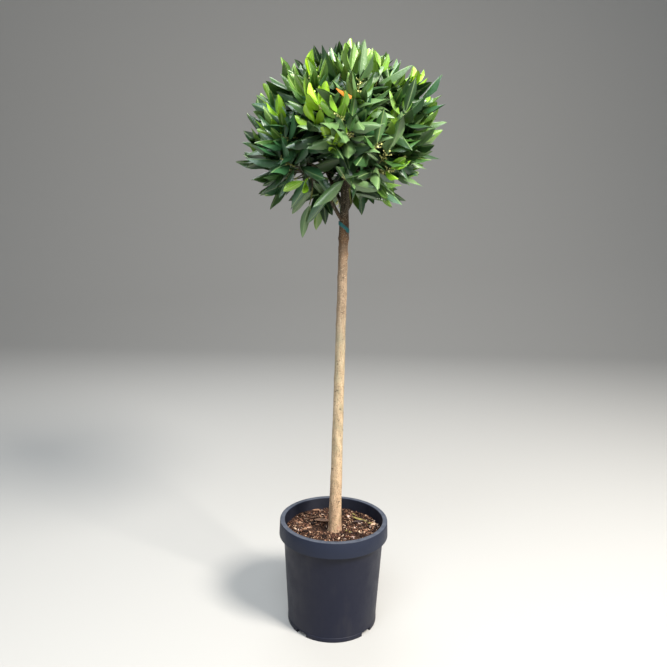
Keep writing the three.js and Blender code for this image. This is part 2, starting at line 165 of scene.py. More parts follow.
def turn_up(name, rings, sides):
    """Draws a closed solid up from a disc, ring by ring. Each ring is a radius and a height."""
    (radius, height), *others = rings
    bpy.ops.object.select_all(action="DESELECT")
    bpy.ops.mesh.primitive_circle_add(vertices=sides, radius=radius, fill_type="NGON")
    piece = bpy.context.object
    piece.name = piece.data.name = name
    bpy.ops.object.mode_set(mode="EDIT")
    bpy.ops.transform.translate(value=(0, 0, height))
    for next_radius, next_height in others:
        step = (0, 0, next_height - height)
        bpy.ops.mesh.extrude_region_move(TRANSFORM_OT_translate={"value": step})
        share = next_radius / radius
        bpy.ops.transform.resize(value=(share, share, 1))
        radius, height = next_radius, next_height
    bpy.ops.mesh.select_all(action="SELECT")
    bpy.ops.mesh.normals_make_consistent(inside=False)
    bpy.ops.object.mode_set(mode="OBJECT")
    return piece


def pick_out(piece):
    """Selects one piece alone and makes it the active one."""
    bpy.ops.object.select_all(action="DESELECT")
    piece.select_set(True)
    bpy.context.view_layer.objects.active = piece


def smooth(piece, sharpest):
    """Shades a piece smooth, apart from edges that turn by more than an angle in degrees."""
    pick_out(piece)
    bpy.ops.object.shade_smooth_by_angle(angle=math.radians(sharpest))


def apply_modifier(piece, kind, **settings):
    pick_out(piece)
    modifier = piece.modifiers.new(kind.lower(), kind)
    for key, value in settings.items():
        setattr(modifier, key, value)
    bpy.ops.object.modifier_apply(modifier=modifier.name)


def cut_or_join(piece, tool, operation):
    apply_modifier(piece, "BOOLEAN", object=tool, operation=operation, solver="EXACT")
    bpy.data.objects.remove(tool)


def radial_boxes(inner, outer, width, low, high):
    """Four boxes that lie along the channels."""
    boxes = []
    for turn in quarters:
        bpy.ops.object.select_all(action="DESELECT")
        bpy.ops.mesh.primitive_cube_add(size=1)
        box = bpy.context.object
        size = Matrix.Diagonal((outer - inner, width, high - low, 1))
        place = Matrix.Translation(((inner + outer) / 2, 0, (low + high) / 2))
        box.data.transform(turn @ place @ size)
        boxes.append(box)
    return join_all(boxes, "boxes")


def join_all(pieces, name):
    pick_out(pieces[0])
    for piece in pieces:
        piece.select_set(True)
    bpy.ops.object.join()
    pieces[0].name = pieces[0].data.name = name
    return pieces[0]


pot = turn_up(
    "pot_shell",
    [
        (foot_radius - pot_edge, 0),
        (foot_radius, pot_edge),
        (foot_radius, foot_height - pot_edge / 2),
        (foot_radius - pot_edge / 2, foot_height),
        (wall_radius(foot_height), foot_height + pot_edge / 2),
        (wall_radius(rim_underside), rim_underside),
        (rim_top_radius - pot_wall, rim_underside),
        (rim_radius - pot_wall, rim_foot),
        (rim_radius - pot_edge / 2, rim_foot),
        (rim_radius, rim_foot + pot_edge / 2),
        (rim_top_radius, pot_height - 1.6 * pot_edge),
        (rim_top_radius - 0.5 * pot_edge, pot_height - 0.4 * pot_edge),
        (rim_top_radius - 1.8 * pot_edge, pot_height),
        (lip_inner_radius + 0.8 * pot_edge, pot_height),
        (lip_inner_radius, pot_height - 2 * pot_edge),
        (inner_radius(pot_floor), pot_floor),
    ],
    pot_sides,
)
sharp_corner = math.radians(25)
apply_modifier(pot, "BEVEL", width=pot_bevel, segments=3, limit_method="ANGLE", angle_limit=sharp_corner)
roofs = radial_boxes(
    channel_inner - channel_roof,
    wall_foot_radius - roof_inset,
    channel_width + 2 * channel_roof,
    pot_floor / 2,
    channel_height + channel_roof,
)
cut_or_join(pot, roofs, "UNION")
grooves = radial_boxes(channel_inner, rim_radius, channel_width, -0.001, channel_height)
cut_or_join(pot, grooves, "DIFFERENCE")
drains = []
drain_spot = ((channel_inner + wall_foot_radius) / 2, 0, channel_height + channel_roof / 2)
for turn in quarters:
    bpy.ops.object.select_all(action="DESELECT")
    bpy.ops.mesh.primitive_cylinder_add(radius=drain_radius, depth=drain_depth, vertices=24)
    drain = bpy.context.object
    drain.data.transform(turn @ Matrix.Translation(drain_spot))
    drains.append(drain)
cut_or_join(pot, join_all(drains, "drains"), "DIFFERENCE")
smooth(pot, 32)


def blotches_group():
    """Soft blotches, as of dust or weathering: noise that is stretched, then cut to a mask from 0 to 1."""
    group = bpy.data.node_groups.new("blotches", "ShaderNodeTree")
    for name, kind in (("Scale", "Float"), ("Stretch", "Vector"), ("Low", "Float"), ("High", "Float")):
        group.interface.new_socket(name, in_out="INPUT", socket_type="NodeSocket" + kind)
    group.interface.new_socket("Mask", in_out="OUTPUT", socket_type="NodeSocketFloat")
    nodes, links = group.nodes, group.links
    given = nodes.new("NodeGroupInput")
    place = nodes.new("ShaderNodeTexCoord")
    mapping = nodes.new("ShaderNodeMapping")
    clouds = nodes.new("ShaderNodeTexNoise")
    clouds.inputs["Detail"].default_value = 6
    cut = nodes.new("ShaderNodeMapRange")
    result = nodes.new("NodeGroupOutput")
    links.new(place.outputs["Object"], mapping.inputs["Vector"])
    links.new(given.outputs["Stretch"], mapping.inputs["Scale"])
    links.new(mapping.outputs["Vector"], clouds.inputs["Vector"])
    links.new(given.outputs["Scale"], clouds.inputs["Scale"])
    links.new(clouds.outputs["Fac"], cut.inputs["Value"])
    links.new(given.outputs["Low"], cut.inputs["From Min"])
    links.new(given.outputs["High"], cut.inputs["From Max"])
    links.new(cut.outputs["Result"], result.inputs["Mask"])
    return group


blotches = blotches_group()


class Finish:
    """A material under construction: a Principled shader and the nodes that feed it."""

    def __init__(self, name, roughness=0.5, specular=0.5):
        self.material = bpy.data.materials.new(name)
        self.material.use_nodes = True
        self.nodes = self.material.node_tree.nodes
        self.links = self.material.node_tree.links
        self.shader = self.nodes["Principled BSDF"]
        self.shader.inputs["Roughness"].default_value = roughness
        self.shader.inputs["Specular IOR Level"].default_value = specular

    def mask(self, scale, low, high, stretch=(1, 1, 1)):
        node = self.nodes.new("ShaderNodeGroup")
        node.node_tree = blotches
        node.inputs["Scale"].default_value = scale
        node.inputs["Stretch"].default_value = stretch
        node.inputs["Low"].default_value = low
        node.inputs["High"].default_value = high
        return node.outputs["Mask"]

    def blend(self, share, first, second):
        """A colour between two, each of which is a colour or another node's output."""
        node = self.nodes.new("ShaderNodeMix")
        node.data_type = "RGBA"
        self.links.new(share, node.inputs["Factor"])
        self.feed(node.inputs["A"], first)
        self.feed(node.inputs["B"], second)
        return node.outputs["Result"]

    def mottle(self, spots, first, second):
        """A colour that changes between two in blotches."""
        return self.blend(self.mask(*spots), first, second)

    def combine(self, kind, first, second):
        node = self.nodes.new("ShaderNodeMath")
        node.operation = kind
        node.use_clamp = True
        self.feed(node.inputs[0], first)
        self.feed(node.inputs[1], second)
        return node.outputs[0]

    def faint(self, strength, *spots):
        """A mask that is weaker all over."""
        return self.combine("MULTIPLY", self.mask(*spots), strength)

    def height(self, low, high):
        """0 below one height on the piece and 1 above the other."""
        place = self.nodes.new("ShaderNodeTexCoord")
        split = self.nodes.new("ShaderNodeSeparateXYZ")
        ramp = self.nodes.new("ShaderNodeMapRange")
        ramp.inputs["From Min"].default_value = low
        ramp.inputs["From Max"].default_value = high
        self.links.new(place.outputs["Object"], split.inputs["Vector"])
        self.links.new(split.outputs["Z"], ramp.inputs["Value"])
        return ramp.outputs["Result"]

    def feed(self, socket, value):
        if isinstance(value, bpy.types.NodeSocket):
            self.links.new(value, socket)
        elif isinstance(value, tuple):
            socket.default_value = (*value, 1)
        else:
            socket.default_value = value

    def colour(self, value):
        self.feed(self.shader.inputs["Base Color"], value)

    def roughness(self, share, low, high):
        node = self.nodes.new("ShaderNodeMapRange")
        node.inputs["To Min"].default_value = low
        node.inputs["To Max"].default_value = high
        self.links.new(share, node.inputs["Value"])
        self.links.new(node.outputs["Result"], self.shader.inputs["Roughness"])

    def bump(self, height, distance, strength=1.0):
        node = self.nodes.new("ShaderNodeBump")
        node.inputs["Distance"].default_value = distance
        node.inputs["Strength"].default_value = strength
        self.links.new(height, node.inputs["Height"])
        normal = self.shader.inputs["Normal"]
        if normal.is_linked:
            self.links.new(normal.links[0].from_socket, node.inputs["Normal"])
        self.links.new(node.outputs["Normal"], normal)

    def coat(self, piece):
        piece.data.materials.append(self.material)


plastic = Finish("pot_plastic", specular=0.29)
low_dust = plastic.combine("SUBTRACT", plastic.mask(14, 0.35, 0.75, (1, 1, 0.5)), plastic.height(0.0, 0.09))
dust = plastic.combine("ADD", low_dust, plastic.faint(0.35, 55, 0.56, 0.72, (1, 1, 0.25)))
skin_tone = plastic.blend(dust, (0.0055, 0.0070, 0.0190), (0.018, 0.018, 0.026))
# The folded rim band is painted bluer and paler than the body: a painted sheen where it tilts up to the
# light.
rim_band_sheen = plastic.height(rim_foot - 0.002, rim_foot + 0.001)
skin_tone = plastic.blend(rim_band_sheen, skin_tone, (0.0095, 0.0135, 0.0290))
# The flat top of the lip is painted paler blue-grey in patches: a painted sheen from the light above.
lip_sheen = plastic.mottle((60, 0.3, 0.7), (0.036, 0.043, 0.062), (0.070, 0.078, 0.102))
plastic.colour(plastic.blend(plastic.height(pot_height - 0.0008, pot_height - 0.0002), skin_tone, lip_sheen))
plastic.roughness(plastic.mask(30, 0.3, 0.7), 0.42, 0.58)
plastic.bump(plastic.mask(900, 0.3, 0.7), 0.00012)
plastic.bump(plastic.mask(26, 0.3, 0.7, (1, 1, 0.3)), 0.0007, 0.5)
# The inside of the pot takes a darker copy of the plastic: painted shade, with some dirt.
inside = Finish("pot_plastic_painted_shade", roughness=0.6, specular=0.25)
inside.colour(inside.mottle((45, 0.4, 0.65), (0.003, 0.004, 0.010), (0.007, 0.008, 0.015)))
plastic.coat(pot)
inside.coat(pot)
# Faces on the inside of the wall take the darker copy, the painted shade.
for face in pot.data.polygons:
    faces_in = face.normal.xy.dot(face.center.xy) < 0
    if faces_in and face.center.xy.length < lip_inner_radius + 0.0002 and face.center.z > pot_floor:
        face.material_index = 1
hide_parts("pot")
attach(pot, "root")

# Compost: moist brown compost that fills the pot to below the lip. It is heaped unevenly,
# with a hollow to the left of the stem.
compost_gap = 0.0003
compost_foot = channel_height + channel_roof + compost_gap
compost_level = 0.2060
compost_relief = 0.0022
compost_sides = 120
surface_rings = 26
hollow = Vector((-0.033, -0.002, 0))
hollow_radius = 0.019
hollow_depth = 0.007
stem_foot = Vector((0.0027, 0, 0.203))
stem_foot_radius = 0.0165
compost_radius = inner_radius(compost_level) - compost_gap


def mound_at(x, y):
    """The surface's height: broad waves with finer ones between them, flat under the stem."""
    broad = math.sin(1000 * x / 17 + 1.3) * math.cos(1000 * y / 13 - 0.6)
    fine = math.sin(1000 * x / 7.5 - 1000 * y / 9 + 2.1)
    crumb = noise.noise(Vector((x, y, 0)) * 160) + 0.5 * noise.noise(Vector((x, y, 1)) * 420)
    level = compost_level + compost_relief * (broad + 0.6 * fine + 0.7 * crumb)
    level -= hollow_depth * math.exp(-((x - hollow.x) ** 2 + (y - hollow.y) ** 2) / hollow_radius**2)
    near = math.hypot(x - stem_foot.x, y)
    return stem_foot.z - compost_gap if near < stem_foot_radius else level


bed_rings = [(inner_radius(compost_foot) - compost_gap, compost_foot)]
bed_rings += [(compost_radius * (1 - step / surface_rings), compost_level) for step in range(surface_rings)]
bed = turn_up("compost_bed", bed_rings, compost_sides)
for vertex in bed.data.vertices:
    if vertex.co.z > compost_level - 0.001:
        vertex.co.z = mound_at(vertex.co.x, vertex.co.y)
smooth(bed, 50)
crumbs = Finish("compost_crumbs", roughness=0.95, specular=0.2)
crumb_tone = crumbs.mottle((240, 0.4, 0.62), (0.009, 0.005, 0.004), (0.062, 0.028, 0.017))
crumbs.colour(crumbs.mottle((520, 0.58, 0.7), crumb_tone, (0.20, 0.11, 0.060)))
crumbs.bump(crumbs.mask(330, 0.3, 0.7), 0.0015)
crumbs.coat(bed)
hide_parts("compost")
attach(bed, "root")

# Bark chips: coarse chips, slivers and crumbs of bark mulch strewn over the compost by hand.
# They lie at all angles, steepest by the wall, and run from nearly black to pale tan.
chip_kinds = (
    {"count": 110, "long": (0.011, 0.021), "wide": 0.40, "thick": (0.0016, 0.0034), "lift": 0.0030},
    {"count": 760, "long": (0.005, 0.013), "wide": 0.30, "thick": (0.0009, 0.0018), "lift": 0.0042},
    {"count": 1500, "long": (0.002, 0.005), "wide": 0.60, "thick": (0.0009, 0.0018), "lift": 0.0026},
)
chip_tilt = math.radians(34)
chip_edge_ring = 0.086
edge_tilt = 1.8
bare_radius = stem_foot_radius + 0.001
hollow_longest, hollow_painted_shade = 0.006, 0.4
chip_corners = 6
wall_clearance = 0.002
placed_thickness = 0.0020
placed_lift = 0.0042
placed_tilt = math.radians(14)
placed_chips = (
    (0.036, 0.053, 75, 0.013, 0.0080, 0.99), (0.095, 0.014, 32, 0.019, 0.0090, 0.93),
    (0.066, 0.050, -20, 0.013, 0.0060, 0.30), (-0.044, 0.098, 8, 0.022, 0.0060, 0.80),
    (-0.057, -0.004, 12, 0.016, 0.0065, 0.86), (0.060, -0.062, 40, 0.011, 0.0040, 0.95),
    (0.012, -0.058, 62, 0.012, 0.0045, 0.94), (-0.090, -0.012, -38, 0.014, 0.0050, 0.93),
    (0.098, 0.040, -10, 0.007, 0.0045, 0.97),
)


def seeded(seed):
    """A repeatable stream of numbers from 0 to 1."""
    state = seed
    while True:
        state = state * 16807 % 2147483647
        yield state / 2147483647


def between(stream, low, high):
    return low + (high - low) * next(stream)


def chip_shape(stream, length, width, thickness):
    """Corners of one chip: a torn, bent slip with two flat sides."""
    bend = between(stream, -6, 6)
    outline = []
    for corner in range(chip_corners):
        turn = 2 * math.pi * (corner + between(stream, -0.35, 0.35)) / chip_corners
        torn = between(stream, 0.62, 1.0)
        outline.append((torn * length / 2 * math.cos(turn), torn * width / 2 * math.sin(turn)))
    return [
        Vector((x, y, side * thickness / 2 + bend * x * x))
        for side in (-1, 1)
        for x, y in outline
    ]


def mesh_piece(name, corners, faces, rounded=False):
    shape = bpy.data.meshes.new(name)
    shape.from_pydata(corners, [], faces)
    shape.polygons.foreach_set("use_smooth", np.full(len(faces), rounded))
    piece = bpy.data.objects.new(name, shape)
    bpy.context.scene.collection.objects.link(piece)
    return piece


chip_stream = seeded(71)
chip_points, chip_faces, chip_tints = [], [], []


def add_chip(corners, place, tint):
    """Adds a chip to the lists, with its low side's corners first."""
    first = len(chip_points)
    chip_points.extend(place @ corner for corner in corners)
    low_side = [first + i for i in range(chip_corners)]
    high_side = [first + chip_corners + i for i in range(chip_corners)]
    chip_faces.extend([low_side[::-1], high_side])
    for i in range(chip_corners):
        j = (i + 1) % chip_corners
        chip_faces.append([low_side[i], low_side[j], high_side[j], high_side[i]])
    chip_tints.extend([tint] * (2 * chip_corners))


for x, y, yaw, length, width, tint in placed_chips:
    spot = Matrix.Translation((x, y, mound_at(x, y) + placed_lift))
    turn = Matrix.Rotation(math.radians(yaw), 4, "Z") @ Matrix.Rotation(placed_tilt, 4, "X")
    add_chip(chip_shape(chip_stream, length, width, placed_thickness), spot @ turn, tint)
for kind in chip_kinds:
    for _ in range(kind["count"]):
        length = between(chip_stream, *kind["long"])
        width = length * kind["wide"] * between(chip_stream, 0.7, 1.3)
        corners = chip_shape(chip_stream, length, width, between(chip_stream, *kind["thick"]))
        room = compost_radius - length / 2 - wall_clearance
        out = math.sqrt(between(chip_stream, 0, room * room))
        around = between(chip_stream, 0, 2 * math.pi)
        spot = Vector((out * math.cos(around), out * math.sin(around), 0))
        tilt_x, tilt_y = (between(chip_stream, -chip_tilt, chip_tilt) for _ in range(2))
        yaw = between(chip_stream, 0, 2 * math.pi)
        tint = next(chip_stream)
        near_stem = (spot - Vector((stem_foot.x, 0, 0))).length < bare_radius + length / 2
        in_hollow = (spot - hollow).length < hollow_radius
        if near_stem or (in_hollow and length > hollow_longest):
            continue
        # Chips that lie in the hollow are painted darker: painted shade in the dip.
        if in_hollow:
            tint *= hollow_painted_shade
        if spot.length > chip_edge_ring:
            tilt_x, tilt_y = edge_tilt * tilt_x, edge_tilt * tilt_y
        spot.z = mound_at(spot.x, spot.y) + between(chip_stream, 0, kind["lift"])
        turn = Matrix.Rotation(yaw, 4, "Z") @ Matrix.Rotation(tilt_x, 4, "X")
        turn = turn @ Matrix.Rotation(tilt_y, 4, "Y")
        add_chip(corners, Matrix.Translation(spot) @ turn, tint)
chips = mesh_piece("bark_chips", chip_points, chip_faces)
tint_layer = chips.data.attributes.new("tint", "FLOAT", "POINT")
tint_layer.data.foreach_set("value", chip_tints)
chip_tones = (
    (0.0, (0.007, 0.004, 0.003)), (0.32, (0.017, 0.007, 0.005)), (0.52, (0.098, 0.039, 0.023)),
    (0.74, (0.225, 0.111, 0.066)), (0.88, (0.430, 0.255, 0.158)), (0.95, (0.640, 0.450, 0.315)),
    (1.0, (0.660, 0.500, 0.450)),
)
torn_bark = Finish("bark_mulch", roughness=0.9, specular=0.25)
tint_node = torn_bark.nodes.new("ShaderNodeAttribute")
tint_node.attribute_name = "tint"
ramp_node = torn_bark.nodes.new("ShaderNodeValToRGB")
ramp = ramp_node.color_ramp
ramp.elements[0].color = (*chip_tones[0][1], 1)
ramp.elements[1].color = (*chip_tones[-1][1], 1)
for position, tone in chip_tones[1:-1]:
    ramp.elements.new(position).color = (*tone, 1)
torn_bark.links.new(tint_node.outputs["Fac"], ramp_node.inputs["Fac"])
fibres = torn_bark.faint(0.55, 420, 0.42, 0.66)
torn_bark.colour(torn_bark.blend(fibres, ramp_node.outputs["Color"], (0.045, 0.022, 0.014)))
torn_bark.bump(torn_bark.mask(600, 0.3, 0.7), 0.0006)
torn_bark.coat(chips)
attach(chips, "root")

# Fallen leaves: a few dead bay leaves and torn bits of leaf that dropped on the mulch and curled
# as they dried. The older ones are brown, and the fresher ones yellow-green.
fallen_leaves = (
    (-0.028, 0.025, -10, 0.040, 0.0150, 0, 1), (-0.046, 0.043, 14, 0.022, 0.0100, 0, 0),
    (0.061, 0.026, 18, 0.034, 0.0120, 1, 0), (0.063, 0.035, -34, 0.044, 0.0085, 2, 1),
    (0.030, -0.020, 70, 0.009, 0.0040, 2, 1), (0.039, -0.025, 20, 0.008, 0.0035, 2, 1),
    (0.088, 0.022, 8, 0.013, 0.0050, 2, 1), (0.050, 0.066, -50, 0.012, 0.0040, 2, 1),
)
fallen_lift = 0.0045
fallen_thickness = 0.0004
fallen_rows, fallen_columns = 9, 7
fallen_points, fallen_faces, fallen_kinds = [], [], []
for x, y, yaw, length, width, kind, opened in fallen_leaves:
    place = Matrix.Translation((x, y, mound_at(x, y) + fallen_lift))
    place = place @ Matrix.Rotation(math.radians(yaw), 4, "Z")
    curl = 1.1 if opened else 2.5
    for row in range(fallen_rows):
        along = row / (fallen_rows - 1)
        half = width / 2 * (0.06 + 0.94 * math.sin(math.pi * along) ** 0.7)
        for column in range(fallen_columns):
            turn = curl * (2 * column / (fallen_columns - 1) - 1)
            rise = half / curl * (1 - math.cos(turn)) + 0.25 * length * (along - 0.5) ** 2
            side = half / curl * math.sin(turn) * (1.15 if opened else 1.0)
            fallen_points.append(place @ Vector((length * (along - 0.5), side, rise)))
    first = len(fallen_points) - fallen_rows * fallen_columns
    for row in range(fallen_rows - 1):
        for column in range(fallen_columns - 1):
            a = first + row * fallen_columns + column
            fallen_faces.append([a, a + 1, a + fallen_columns + 1, a + fallen_columns])
            fallen_kinds.append(kind)
fallen = mesh_piece("fallen_leaves", fallen_points, fallen_faces, rounded=True)
fallen.data.polygons.foreach_set("material_index", fallen_kinds)
for name, first_tone, second_tone in (
    ("leaf_dry_brown", (0.260, 0.140, 0.078), (0.130, 0.062, 0.034)),
    ("leaf_dry_dark", (0.045, 0.019, 0.018), (0.020, 0.010, 0.010)),
    ("leaf_dry_yellow", (0.270, 0.220, 0.050), (0.120, 0.095, 0.030)),
):
    dry_skin = Finish(name, roughness=0.6)
    dry_skin.colour(dry_skin.mottle((220, 0.35, 0.65), first_tone, second_tone))
    dry_skin.coat(fallen)
apply_modifier(fallen, "SOLIDIFY", thickness=fallen_thickness, offset=0)
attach(fallen, "root")

# Stem: one straight, smooth-barked stem that tapers to the head's top, with a small flare at its
# foot. Its bark is tan low down, grey-green in the middle and brown under the head, with painted
# shade from the head darkening it above the tie.
stem_rings = np.array(
    [
        (0.203, 0.0170, 0.0027), (0.210, 0.0160, 0.0027), (0.226, 0.0150, 0.0028),
        (0.325, 0.0135, 0.0040), (0.470, 0.0124, 0.0056), (0.610, 0.0118, 0.0074),
        (0.746, 0.0113, 0.0088), (0.870, 0.0109, 0.0100), (0.918, 0.0117, 0.0104),
        (0.950, 0.0104, 0.0100), (1.020, 0.0084, 0.0105), (1.100, 0.0060, 0.0130),
        (1.180, 0.0039, 0.0180),
    ]
)
stem_step = 0.0075
stem_sides = 40
grain_height, pit_height = 0.00038, 0.00022
stem_sway = 0.0011


def stem_at(z):
    """The stem's radius and sideways place at a height."""
    heights, radii, places = stem_rings.T
    return float(np.interp(z, heights, radii)), float(np.interp(z, heights, places))


stem_heights = np.arange(stem_rings[0][0], stem_rings[-1][0] + stem_step / 2, stem_step)
stem = turn_up("stem_bark", [(stem_at(z)[0], z) for z in stem_heights], stem_sides)
stem_knots = (
    (0.262, 200, 0.0011, 0.009), (0.330, -70, 0.0008, 0.010), (0.470, 75, 0.0008, 0.008),
    (0.690, -88, 0.0010, 0.007), (0.762, 85, 0.0011, 0.006), (0.800, -84, 0.0012, 0.006),
    (0.822, 88, 0.0010, 0.005), (0.395, 20, 0.0009, 0.012), (0.554, -12, 0.0011, 0.009),
    (0.562, 262, 0.0009, 0.009), (0.640, 130, 0.0010, 0.011), (0.728, 300, 0.0011, 0.009),
    (0.854, 80, 0.0022, 0.0055), (0.893, 92, 0.0019, 0.0060), (0.893, -92, 0.0018, 0.0055),
    (0.868, -86, 0.0012, 0.0050), (0.906, 176, 0.0012, 0.008),
)
for vertex in stem.data.vertices:
    x, y, z = vertex.co
    radius, place = stem_at(z)
    long_grain = noise.noise(Vector((x * 420, y * 420, z * 26)))
    pits = noise.noise(Vector((x * 300, y * 300, z * 210)))
    relief = grain_height * long_grain + pit_height * pits
    sway = stem_sway * noise.noise(Vector((3.7, 0, z * 9)))
    for knot_z, knot_turn, knot_rise, knot_size in stem_knots:
        turn = math.radians(knot_turn)
        middle = Vector((math.sin(turn) * radius, -math.cos(turn) * radius, knot_z))
        relief += knot_rise * math.exp(-((vertex.co - middle).length / knot_size) ** 2)
    outward = 1 + relief / radius if math.hypot(x, y) > radius / 2 else 1
    vertex.co = (x * outward + place + sway, y * outward + sway, z)
smooth(stem, 60)
bark = Finish("smooth_bark", roughness=0.78)
patches = bark.mask(75, 0.38, 0.62, (1, 1, 0.35))
low_bark = bark.blend(patches, (0.60, 0.405, 0.250), (0.38, 0.245, 0.145))
mid_bark = bark.blend(patches, (0.51, 0.375, 0.235), (0.33, 0.245, 0.148))
top_bark = bark.blend(patches, (0.115, 0.055, 0.019), (0.046, 0.020, 0.006))
blush = bark.faint(0.45, 45, 0.52, 0.66, (1, 1, 0.6))
low_bark = bark.blend(blush, low_bark, (0.46, 0.235, 0.160))
low_stain = bark.faint(0.55, 120, 0.50, 0.60, (1, 1, 0.5))
low_bark = bark.blend(low_stain, low_bark, (0.27, 0.185, 0.085))
mid_stain = bark.faint(0.50, 120, 0.50, 0.60, (1, 1, 0.4))
mid_bark = bark.blend(mid_stain, mid_bark, (0.26, 0.235, 0.145))
rising = bark.blend(bark.height(0.26, 0.42), low_bark, mid_bark)
film = bark.combine("MULTIPLY", bark.height(0.50, 0.66), bark.faint(0.55, 60, 0.40, 0.56, (1, 1, 0.3)))
rising = bark.blend(film, rising, (0.265, 0.265, 0.185))
dim = bark.mottle((70, 0.40, 0.60, (1, 1, 0.4)), (0.310, 0.218, 0.140), (0.185, 0.127, 0.077))
rising = bark.blend(bark.height(0.63, 0.72), rising, dim)
rising = bark.blend(bark.height(0.78, 0.89), rising, top_bark)
# Above the tie the bark is painted much darker: painted shade cast by the head.
rising = bark.blend(bark.height(0.925, 0.96), rising, (0.040, 0.030, 0.014))
pale_flecks = bark.faint(0.45, 380, 0.58, 0.66)
rising = bark.blend(pale_flecks, rising, (0.64, 0.54, 0.38))
dark_flecks = bark.faint(0.75, 430, 0.56, 0.63, (1, 1, 0.8))
bark.colour(bark.blend(dark_flecks, rising, (0.11, 0.075, 0.042)))
bark.roughness(bark.mask(90, 0.3, 0.7), 0.62, 0.85)
bark.bump(bark.mask(260, 0.3, 0.7, (1, 1, 0.12)), 0.0007)
bark.bump(bark.mask(900, 0.3, 0.7), 0.0003)
bark.coat(stem)
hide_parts("trunk")
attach(stem, "root")

# Bud scars: small dark raised dots and short lines that smooth bay bark keeps all along the stem,
# where leaves and side shoots were once rubbed off.
scar_count = 190
scar_span = (0.225, 0.915)
scar_rise = 0.0006
scar_least, scar_growth = 0.0006, 0.0011
scar_widths = (1.0, 2.4)
large_scars = (
    (0.5500, -0.62, 0.0009, 0.0022), (0.5535, -0.48, 0.0009, 0.0018),
    (0.5560, -0.28, 0.0016, 0.0010), (0.5565, -0.02, 0.0017, 0.0009),
    (0.5550, 0.22, 0.0012, 0.0010), (0.6040, -0.20, 0.0013, 0.0014),
    (0.7950, -0.25, 0.0013, 0.0016), (0.8300, 0.25, 0.0012, 0.0022), (0.8540, 1.10, 0.0016, 0.0022),
    (0.8850, -0.05, 0.0014, 0.0018),
)
scar_stream = seeded(1913)
scar_points, scar_faces = [], []
bpy.ops.object.select_all(action="DESELECT")
bpy.ops.mesh.primitive_ico_sphere_add(subdivisions=1, radius=1)
bead = bpy.context.object
bead_corners = [v.co.copy() for v in bead.data.vertices]
bead_sides = [list(p.vertices) for p in bead.data.polygons]
bpy.data.objects.remove(bead)


def add_bead(points, faces, corners):
    """Adds a bead, as its twelve placed corners, to the lists of corners and faces."""
    first = len(points)
    points.extend(corners)
    faces.extend([first + i for i in side] for side in bead_sides)


for i in range(scar_count):
    if i < len(large_scars):
        z, turn, wide, size = large_scars[i]
    else:
        z = between(scar_stream, *scar_span)
        turn = between(scar_stream, 0, 2 * math.pi)
        size = scar_least + scar_growth * next(scar_stream) ** 3
        wide = size * between(scar_stream, *scar_widths)
    radius, place = stem_at(z)
    middle = Vector((place + radius * math.sin(turn), -radius * math.cos(turn), z))
    turned = Matrix.Translation(middle) @ Matrix.Rotation(turn, 4, "Z")
    spread = turned @ Matrix.Diagonal((wide, scar_rise, size, 1))
    add_bead(scar_points, scar_faces, [spread @ corner for corner in bead_corners])
scars = mesh_piece("bud_scars", scar_points, scar_faces)
scar_skin = Finish("bud_scar", roughness=0.9)
scar_skin.colour(scar_skin.mottle((500, 0.4, 0.6), (0.055, 0.035, 0.022), (0.11, 0.075, 0.045)))
scar_skin.coat(scars)
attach(scars, "root")

# Tie: a strip of blue-green plastic left where the stem was once tied to its cane. It is wound
# once round the stem, high on the left and low on the right, and knotted at its low side.
tie_z = 0.920
tie_width = 0.0095
tie_slope = math.radians(38.5)
tie_thickness = 0.0009
tie_gap = 0.0003
tie_sides = 56
tie_radius, tie_x = stem_at(tie_z)
bpy.ops.object.select_all(action="DESELECT")
bpy.ops.mesh.primitive_cylinder_add(
    vertices=tie_sides, radius=tie_radius + tie_gap, depth=tie_width, end_fill_type="NOTHING"
)
tie = bpy.context.object
tie.name = tie.data.name = "tie_strip"
bpy.ops.object.mode_set(mode="EDIT")
bpy.ops.mesh.select_all(action="SELECT")
bpy.ops.mesh.subdivide(number_cuts=2)
bpy.ops.object.mode_set(mode="OBJECT")
for vertex in tie.data.vertices:
    x, y, z = vertex.co
    crease = 1 + 0.025 * noise.noise(Vector((x, y, z)) * 260) + 0.02 * abs(z) / tie_width
    vertex.co = (tie_x + x * crease, y * crease, tie_z + z - x * math.tan(tie_slope))
apply_modifier(tie, "SOLIDIFY", thickness=tie_thickness, offset=1)
knot_spot = Vector((tie_x + tie_radius * 0.72, -tie_radius * 0.80, tie_z - 0.0085))
knot_wide, knot_deep, knot_tall = 0.0040, 0.0026, 0.0046
bpy.ops.object.select_all(action="DESELECT")
bpy.ops.mesh.primitive_ico_sphere_add(subdivisions=3, radius=1)
knot = bpy.context.object
for vertex in knot.data.vertices:
    fold = 1 + 0.35 * noise.noise(vertex.co * 1.7)
    x, y, z = vertex.co * fold
    vertex.co = knot_spot + Vector((knot_wide * x, knot_deep * y, knot_tall * z))
tie = join_all([tie, knot], "tie_strip")
smooth(tie, 40)
strip = Finish("tie_plastic", roughness=0.42)
strip.colour(strip.mottle((160, 0.35, 0.7), (0.004, 0.150, 0.155), (0.004, 0.050, 0.050)))
strip.bump(strip.mask(700, 0.3, 0.7), 0.0005)
strip.coat(tie)
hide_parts("tie")
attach(tie, "root")

